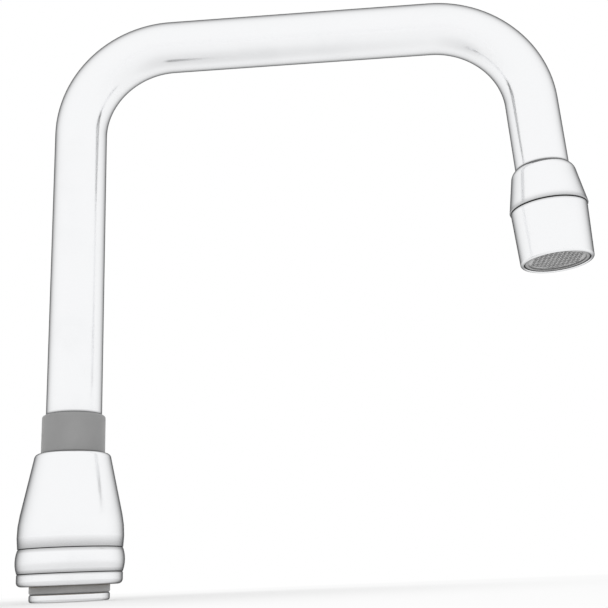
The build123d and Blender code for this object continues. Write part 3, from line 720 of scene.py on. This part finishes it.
def seat_washer():
    """The washer between the stem's shoulder and the faucet's nozzle."""
    bottom = SHOULDER_BOTTOM - SEAT_WASHER_THICKNESS
    bore = PLUG_RADIUS + RUNNING_CLEARANCE
    return flat_ring("seat_washer_cut", bore, STACK_RADIUS, bottom, SEAT_WASHER_THICKNESS, EDGE_BREAK)


def slip_washer():
    """The washer that the stem turns under, a film's thickness clear of both its neighbours."""
    bottom = SHOULDER_TOP + FILM
    thickness = SLIP_WASHER_THICKNESS - 2 * FILM
    return flat_ring("slip_washer_cut", SLEEVE_BORE, STACK_RADIUS, bottom, thickness, EDGE_BREAK)


def stem_o_ring(name, groove):
    """A sealing ring in the middle of its groove, which starts at a height."""
    bore = PLUG_RADIUS - RING_GROOVE_DEPTH + RING_CLEARANCE
    bottom = groove + (RING_GROOVE_HEIGHT - O_RING_SECTION) / 2
    return flat_ring(name, bore, bore + O_RING_SECTION, bottom, O_RING_SECTION, O_RING_SECTION / 2)


def outlet_washer():
    """The washer between the end of the thread and the insert."""
    return flat_ring(
        "outlet_washer_rubber", DISC_BORE - OUTLET_WASHER_COVER, INSERT_FLANGE_RADIUS, THREAD_END,
        OUTLET_WASHER_THICKNESS, EDGE_BREAK, along=LEG_START,
    )


class Socket:
    """A shader socket as a value: sums, differences and products of it add Math nodes."""

    def __init__(self, shader, output):
        self.shader = shader
        self.output = output

    def math(self, operation, first, second):
        """A Math node's result."""
        return self.shader.node("ShaderNodeMath", {"operation": operation}, {0: first, 1: second})

    def __add__(self, other):
        return self.math("ADD", self, other)

    __radd__ = __add__

    def __sub__(self, other):
        return self.math("SUBTRACT", self, other)

    def __rsub__(self, other):
        return self.math("SUBTRACT", other, self)

    def __mul__(self, other):
        return self.math("MULTIPLY", self, other)

    __rmul__ = __mul__


class Shader:
    """A node tree, the one method that adds nodes to it, and short forms for the usual nodes."""

    def __init__(self, tree):
        self.tree = tree
        tree.nodes.clear()

    def node(self, kind, settings=None, inputs=None, output=0):
        """Adds a node, sets its settings, sets or links its inputs and gives one of its outputs."""
        made = self.tree.nodes.new(kind)
        for key, value in (settings or {}).items():
            setattr(made, key, value)
        for key, value in (inputs or {}).items():
            if isinstance(value, Socket):
                self.tree.links.new(value.output, made.inputs[key])
            else:
                made.inputs[key].default_value = value
        return Socket(self, made.outputs[output]) if made.outputs else None

    def place(self):
        """Object coordinates, in metres."""
        return self.node("ShaderNodeTexCoord", output="Object")

    def noise(self, scale, detail=2.0, roughness=0.5, place=None):
        """Soft noise between about 0.3 and 0.7, with the scale's number of features to the metre."""
        where = place or self.place()
        return self.node("ShaderNodeTexNoise", None, {
            "Vector": where, "Scale": scale, "Detail": detail, "Roughness": roughness,
        })

    def ramp(self, value, low, high):
        """A value eased from 0 at a low value to 1 at a high one."""
        return self.node("ShaderNodeMapRange", {"interpolation_type": "SMOOTHSTEP"}, {
            "Value": value, "From Min": low, "From Max": high,
        })

    def mixed(self, share, first, second):
        """A colour between two colours, which are a Mix node's sockets 6 and 7, with output 2."""
        return self.node("ShaderNodeMix", {"data_type": "RGBA"}, {0: share, 6: first, 7: second}, output=2)

    def attribute(self, name):
        """A piece's own value, 0 where the piece has none by that name."""
        return self.node("ShaderNodeAttribute", {"attribute_name": name}, output="Fac")

    def bump(self, height, distance):
        """The normal over a relief whose height of 1 stands for a distance in metres."""
        return self.node("ShaderNodeBump", None, {"Height": height, "Distance": distance})

    def surface(self, inputs):
        """The material's one shader, on its output."""
        shade = self.node("ShaderNodeBsdfPrincipled", None, inputs)
        self.node("ShaderNodeOutputMaterial", None, {"Surface": shade})


def grey(level):
    """A colour with equal red, green and blue."""
    return (level, level, level, 1.0)


# Colours of the finishes
CLEAN_PLATE = (0.93, 0.935, 0.945, 1.0)
SMUDGED_PLATE = (0.87, 0.88, 0.89, 1.0)
DARK_BRASS = (0.74, 0.55, 0.28, 1.0)
LIGHT_BRASS = (0.82, 0.64, 0.37, 1.0)
# Painted shade for creases and where pieces meet, on the plate and on the plastic
CREASE_PAINTED_SHADE = grey(0.02)
PLASTIC_PAINTED_SHADE = grey(0.03)
CLEAN_RUBBER = grey(0.018)
DUSTY_RUBBER = grey(0.05)
DARK_STEEL = grey(0.5)
LIGHT_STEEL = grey(0.68)

# How much of the plate's reflection is left where it is seen edge on
EDGE_TINT = grey(0.08)

# Heights of the finest relief
PLATE_RELIEF = 0.012 * MM
PLASTIC_RELIEF = 0.03 * MM
RUBBER_RELIEF = 0.02 * MM

# Features to the metre of each finish's marks, the rolling marks' along them and across them
SMUDGE_SCALE = 38.0
WIPING_SCALE = 1400.0
BRASS_SCALE = 150.0
PEEL_SCALE = 160.0
MOTTLE_SCALE = 90.0
SCUFF_SCALE = 260.0
MOULD_GRAIN_SCALE = 2600.0
BLOOM_SCALE = 420.0
RUBBER_GRAIN_SCALE = 3200.0
ROLLING_SCALE = (200.0, 4000.0, 200.0)

# The most that each mark takes of the colour below it: the smudges, and the painted shade in creases and
# where pieces meet, on the plate and on the plastic
SMUDGE_SHARE = 0.35
CREASE_SHADE_SHARE = 0.94
PLASTIC_SHADE_SHARE = 0.85

# Roughness of each clean finish, and what each mark adds to it
PLATE_ROUGHNESS = 0.14
SMUDGE_ROUGHNESS = 0.05
WIPING_ROUGHNESS = 0.04
BARE_ROUGHNESS = 0.2
CREASE_ROUGHNESS = 0.3
PLASTIC_ROUGHNESS = 0.42
SCUFF_ROUGHNESS = 0.16
RUBBER_ROUGHNESS = 0.62
BLOOM_ROUGHNESS = 0.2
STEEL_ROUGHNESS = 0.22
ROLLING_ROUGHNESS = 0.18

# Height of the wiping marks against the plate's broad waviness
WIPING_HEIGHT = 0.05


def material(name):
    """A new material and its shader."""
    made = bpy.data.materials.new(name)
    made.use_nodes = True
    return made, Shader(made.node_tree)


def chromium_plate():
    """Polished plate: bright, with faint handling smudges and fine wiping marks, and painted shade that
    darkens its creases and the lines where pieces meet.

    Where the piece is unplated, the brass shows, duller and yellow.
    """
    made, shader = material("chromium_plate")
    smudges = shader.ramp(shader.noise(SMUDGE_SCALE, detail=4.0, roughness=0.6), low=0.48, high=0.72)
    wiping = shader.noise(WIPING_SCALE)
    painted_shade = shader.attribute("painted_shade")
    bare = shader.attribute("bare")
    plate = shader.mixed(smudges * SMUDGE_SHARE, CLEAN_PLATE, SMUDGED_PLATE)
    brass = shader.mixed(shader.noise(BRASS_SCALE), DARK_BRASS, LIGHT_BRASS)
    colour = shader.mixed(bare, plate, brass)
    # Painted shade: the creases and the lines where pieces meet are darkened nearly to black
    colour = shader.mixed(painted_shade * CREASE_SHADE_SHARE, colour, CREASE_PAINTED_SHADE)
    roughness = PLATE_ROUGHNESS + smudges * SMUDGE_ROUGHNESS + wiping * WIPING_ROUGHNESS
    roughness = roughness + bare * BARE_ROUGHNESS + painted_shade * CREASE_ROUGHNESS
    peel = shader.noise(PEEL_SCALE, detail=1.0) + wiping * WIPING_HEIGHT
    shader.surface({
        "Base Color": colour, "Metallic": 1.0, "Roughness": roughness,
        "Specular Tint": EDGE_TINT, "Normal": shader.bump(peel, PLATE_RELIEF),
    })
    return made


def moulded_plastic(name, light, dark):
    """Satin moulded plastic: faint flow mottling, a fine moulded grain, scuffed gloss and painted shade at
    its creases and where it meets other pieces.
    """
    made, shader = material(name)
    mottle = shader.ramp(shader.noise(MOTTLE_SCALE, detail=3.0), low=0.35, high=0.65)
    scuff = shader.ramp(shader.noise(SCUFF_SCALE, detail=4.0, roughness=0.7), low=0.5, high=0.75)
    colour = shader.mixed(mottle, dark, light)
    # Painted shade: the creases and the lines where the piece meets others are darkened
    colour = shader.mixed(shader.attribute("painted_shade") * PLASTIC_SHADE_SHARE, colour, PLASTIC_PAINTED_SHADE)
    shader.surface({
        "Base Color": colour, "Roughness": PLASTIC_ROUGHNESS + scuff * SCUFF_ROUGHNESS,
        "Normal": shader.bump(shader.noise(MOULD_GRAIN_SCALE), PLASTIC_RELIEF),
    })
    return made


def nitrile_rubber():
    """Black rubber, nearly matt, with a dusty bloom."""
    made, shader = material("nitrile_rubber")
    bloom = shader.ramp(shader.noise(BLOOM_SCALE, detail=3.0), low=0.45, high=0.75)
    shader.surface({
        "Base Color": shader.mixed(bloom, CLEAN_RUBBER, DUSTY_RUBBER),
        "Roughness": RUBBER_ROUGHNESS + bloom * BLOOM_ROUGHNESS,
        "Normal": shader.bump(shader.noise(RUBBER_GRAIN_SCALE), RUBBER_RELIEF),
    })
    return made


def steel_sheet():
    """Bright stainless sheet with rolling marks along one direction."""
    made, shader = material("steel_sheet")
    stretched = shader.node("ShaderNodeMapping", None, {"Vector": shader.place(), "Scale": ROLLING_SCALE})
    rolling = shader.noise(scale=1.0, place=stretched)
    shader.surface({
        "Base Color": shader.mixed(rolling, DARK_STEEL, LIGHT_STEEL),
        "Metallic": 1.0, "Roughness": STEEL_ROUGHNESS + rolling * ROLLING_ROUGHNESS,
    })
    return made


def finish_node(names, made):
    """Gives a material to CAD pieces that are shown as they are."""
    for name in names:
        mesh = frame["nodes"][name].data
        mesh.materials.clear()
        mesh.materials.append(made)


def stand_in(piece, node, body, made):
    """Lets a new piece stand for a CAD node on its body."""
    piece.data.materials.append(made)
    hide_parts(node)
    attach(piece, body)


def plated_pieces():
    """The five pieces in chromium plate."""
    plate = chromium_plate()
    stand_in(coupling_nut(), "coupling_nut", "nut", plate)
    stand_in(swivel_stem(), "swivel_stem", "spout", plate)
    stand_in(spout_tube(), "spout_tube", "spout", plate)
    stand_in(outlet_adapter(), "outlet_adapter", "spout", plate)
    stand_in(outlet_housing(), "outlet_housing", "housing", plate)


def acetal_pieces():
    """The collar, the two plastic washers and the split ring in the stem's groove."""
    grey_acetal = moulded_plastic("grey_acetal", grey(0.272), grey(0.256))
    natural_acetal = moulded_plastic("natural_acetal", grey(0.8), grey(0.7))
    stand_in(guide_sleeve(), "guide_sleeve", "bearing", grey_acetal)
    stand_in(slip_washer(), "slip_washer", "bearing", natural_acetal)
    stand_in(seat_washer(), "seat_washer", "spout", natural_acetal)
    # The ring is the collar's grey acetal, painted lighter to offset the shade it sits in under the nut
    finish_node(["bearing_ring"], moulded_plastic("grey_acetal_lightened", grey(0.34), grey(0.32)))


def rubber_pieces():
    """The two rings on the stem, the outlet's washer and the ring in the insert."""
    rubber = nitrile_rubber()
    for side, groove in (("lower", LOWER_RING_GROOVE), ("upper", UPPER_RING_GROOVE)):
        ring = stem_o_ring(f"stem_o_ring_{side}_rubber", groove)
        stand_in(ring, f"stem_o_ring_{side}", "spout", rubber)
    stand_in(outlet_washer(), "outlet_washer", "insert", rubber)
    finish_node(["flow_ring"], rubber)


def insert_pieces():
    """The insert's body, its discs, screens and strainer, and the honeycomb, painted paler to offset the
    shade it sits in.
    """
    grey_insert = moulded_plastic("grey_insert", grey(0.38), grey(0.34))
    stand_in(insert_body(), "insert_body", "insert", grey_insert)
    finish_node(["flow_disc", "jet_disc", "stream_screen_upper", "stream_screen_lower"], grey_insert)
    # The honeycomb is painted paler to offset the shade it sits in, facing down into the housing's mouth
    finish_node(["outlet_grid"], moulded_plastic("grey_grid_lightened", grey(0.56), grey(0.5)))
    finish_node(["strainer"], steel_sheet())


# The picture's camera stands at the height of the foot and looks up at the arm
CAMERA_PLACE = Vector((99.9 * MM, -328.4 * MM, 3.6 * MM))
CAMERA_YAW = math.radians(-3.18)
CAMERA_PITCH = math.radians(15.93)
CAMERA_ROLL = math.radians(-2.38)
CAMERA_LENS = 57.28
SENSOR_WIDTH = 36.0
NEAREST_SEEN = 0.01
FARTHEST_SEEN = 50.0


def camera():
    """A level camera turned by its yaw, tilted by its pitch and turned in its own plane by its roll."""
    data = bpy.data.cameras.new("camera")
    data.sensor_fit = "HORIZONTAL"
    data.sensor_width = SENSOR_WIDTH
    data.lens = CAMERA_LENS
    data.clip_start = NEAREST_SEEN
    data.clip_end = FARTHEST_SEEN
    made = bpy.data.objects.new("camera", data)
    bpy.context.scene.collection.objects.link(made)
    flat = math.cos(CAMERA_PITCH)
    forward = Vector((math.sin(CAMERA_YAW) * flat, math.cos(CAMERA_YAW) * flat, math.sin(CAMERA_PITCH)))
    level = Vector((math.cos(CAMERA_YAW), -math.sin(CAMERA_YAW), 0))
    raised = level.cross(forward)
    right = math.cos(CAMERA_ROLL) * level + math.sin(CAMERA_ROLL) * raised
    up = math.cos(CAMERA_ROLL) * raised - math.sin(CAMERA_ROLL) * level
    turn = Matrix((right, up, -forward)).transposed()
    made.matrix_world = Matrix.Translation(CAMERA_PLACE) @ turn.to_4x4()
    bpy.context.scene.camera = made


# The round table, which lies just below the foot
TABLE_COLOUR = grey(0.85)
FLOOR_RADIUS = 0.6
FLOOR_DROP = 0.2 * MM
FLOOR_CORNERS = 96

# The white round it, as a share of white where the camera and the plate don't see it
AMBIENT = 0.78

# Share of plain white in the floor, which grows in two steps with the distance from the foot
WHITE_AT_FOOT = 0.4
WHITE_ADDED_NEAR = 0.45
WHITE_ADDED_FAR = 0.15
NEAR_START = 0.04
NEAR_END = 0.2
FAR_END = 0.5


def seen_rays(shader):
    """1 for camera, glossy and transmission rays, else 0."""
    seen = shader.node("ShaderNodeLightPath", output="Is Camera Ray")
    for kind in ("Is Glossy Ray", "Is Transmission Ray"):
        ray = shader.node("ShaderNodeLightPath", output=kind)
        seen = shader.node("ShaderNodeMath", {"operation": "MAXIMUM"}, {0: seen, 1: ray})
    return seen


def studio_world():
    """White all round, as the camera and the plate see it, and a lower level on everything else."""
    world = bpy.data.worlds.new("studio")
    world.use_nodes = True
    bpy.context.scene.world = world
    shader = Shader(world.node_tree)
    seen = seen_rays(shader)
    strength = seen + (1 - seen) * AMBIENT
    light = shader.node("ShaderNodeBackground", None, {"Color": grey(1.0), "Strength": strength})
    shader.node("ShaderNodeOutputWorld", None, {"Surface": light})


def floor():
    """A round pale table that fades into the white round it and keeps the object's shadow.

    It can't be seen from below, so a low view shows the underside of the object.
    """
    angle = np.linspace(0, 2 * math.pi, FLOOR_CORNERS, endpoint=False)
    ring = np.stack([np.cos(angle), np.sin(angle), np.zeros(FLOOR_CORNERS)], axis=-1) * FLOOR_RADIUS
    mesh = bpy.data.meshes.new("floor")
    mesh.from_pydata((ring - np.array([0, 0, FLOOR_DROP])).tolist(), [], [list(range(FLOOR_CORNERS))])
    made = bpy.data.objects.new("floor", mesh)
    bpy.context.scene.collection.objects.link(made)
    surface, shader = material("pale_table")
    away = shader.node("ShaderNodeVectorMath", {"operation": "LENGTH"}, {0: shader.place()}, output="Value")
    near = shader.ramp(away, NEAR_START, NEAR_END) * WHITE_ADDED_NEAR
    far = shader.ramp(away, NEAR_END, FAR_END) * WHITE_ADDED_FAR
    share = seen_rays(shader) * (WHITE_AT_FOOT + near + far)
    matt = shader.node("ShaderNodeBsdfDiffuse", None, {"Color": TABLE_COLOUR})
    white = shader.node("ShaderNodeEmission", None, {"Color": grey(1.0), "Strength": 1.0})
    top = shader.node("ShaderNodeMixShader", None, {0: share, 1: matt, 2: white})
    under = shader.node("ShaderNodeBsdfTransparent")
    below = shader.node("ShaderNodeNewGeometry", output="Backfacing")
    both = shader.node("ShaderNodeMixShader", None, {0: below, 1: top, 2: under})
    shader.node("ShaderNodeOutputMaterial", None, {"Surface": both})
    mesh.materials.append(surface)


def soft_lamp(name, place, aim, size, power):
    """A square lamp at a place, turned to a point. The plate doesn't reflect it."""
    data = bpy.data.lights.new(name, "AREA")
    data.size = size
    data.energy = power
    made = bpy.data.objects.new(name, data)
    made.location = place
    made.rotation_euler = (Vector(aim) - Vector(place)).to_track_quat("-Z", "Y").to_euler()
    made.visible_glossy = False
    bpy.context.scene.collection.objects.link(made)


bpy.context.scene.view_settings.view_transform = "Standard"
plated_pieces()
acetal_pieces()
rubber_pieces()
insert_pieces()
camera()
studio_world()
floor()
soft_lamp("key", place=(-0.25, -0.55, 0.6), aim=(0.08, 0, 0.1), size=0.5, power=0.7)
soft_lamp("fill", place=(0.25, -0.6, 0.12), aim=(0.06, 0, 0.05), size=0.4, power=1.1)
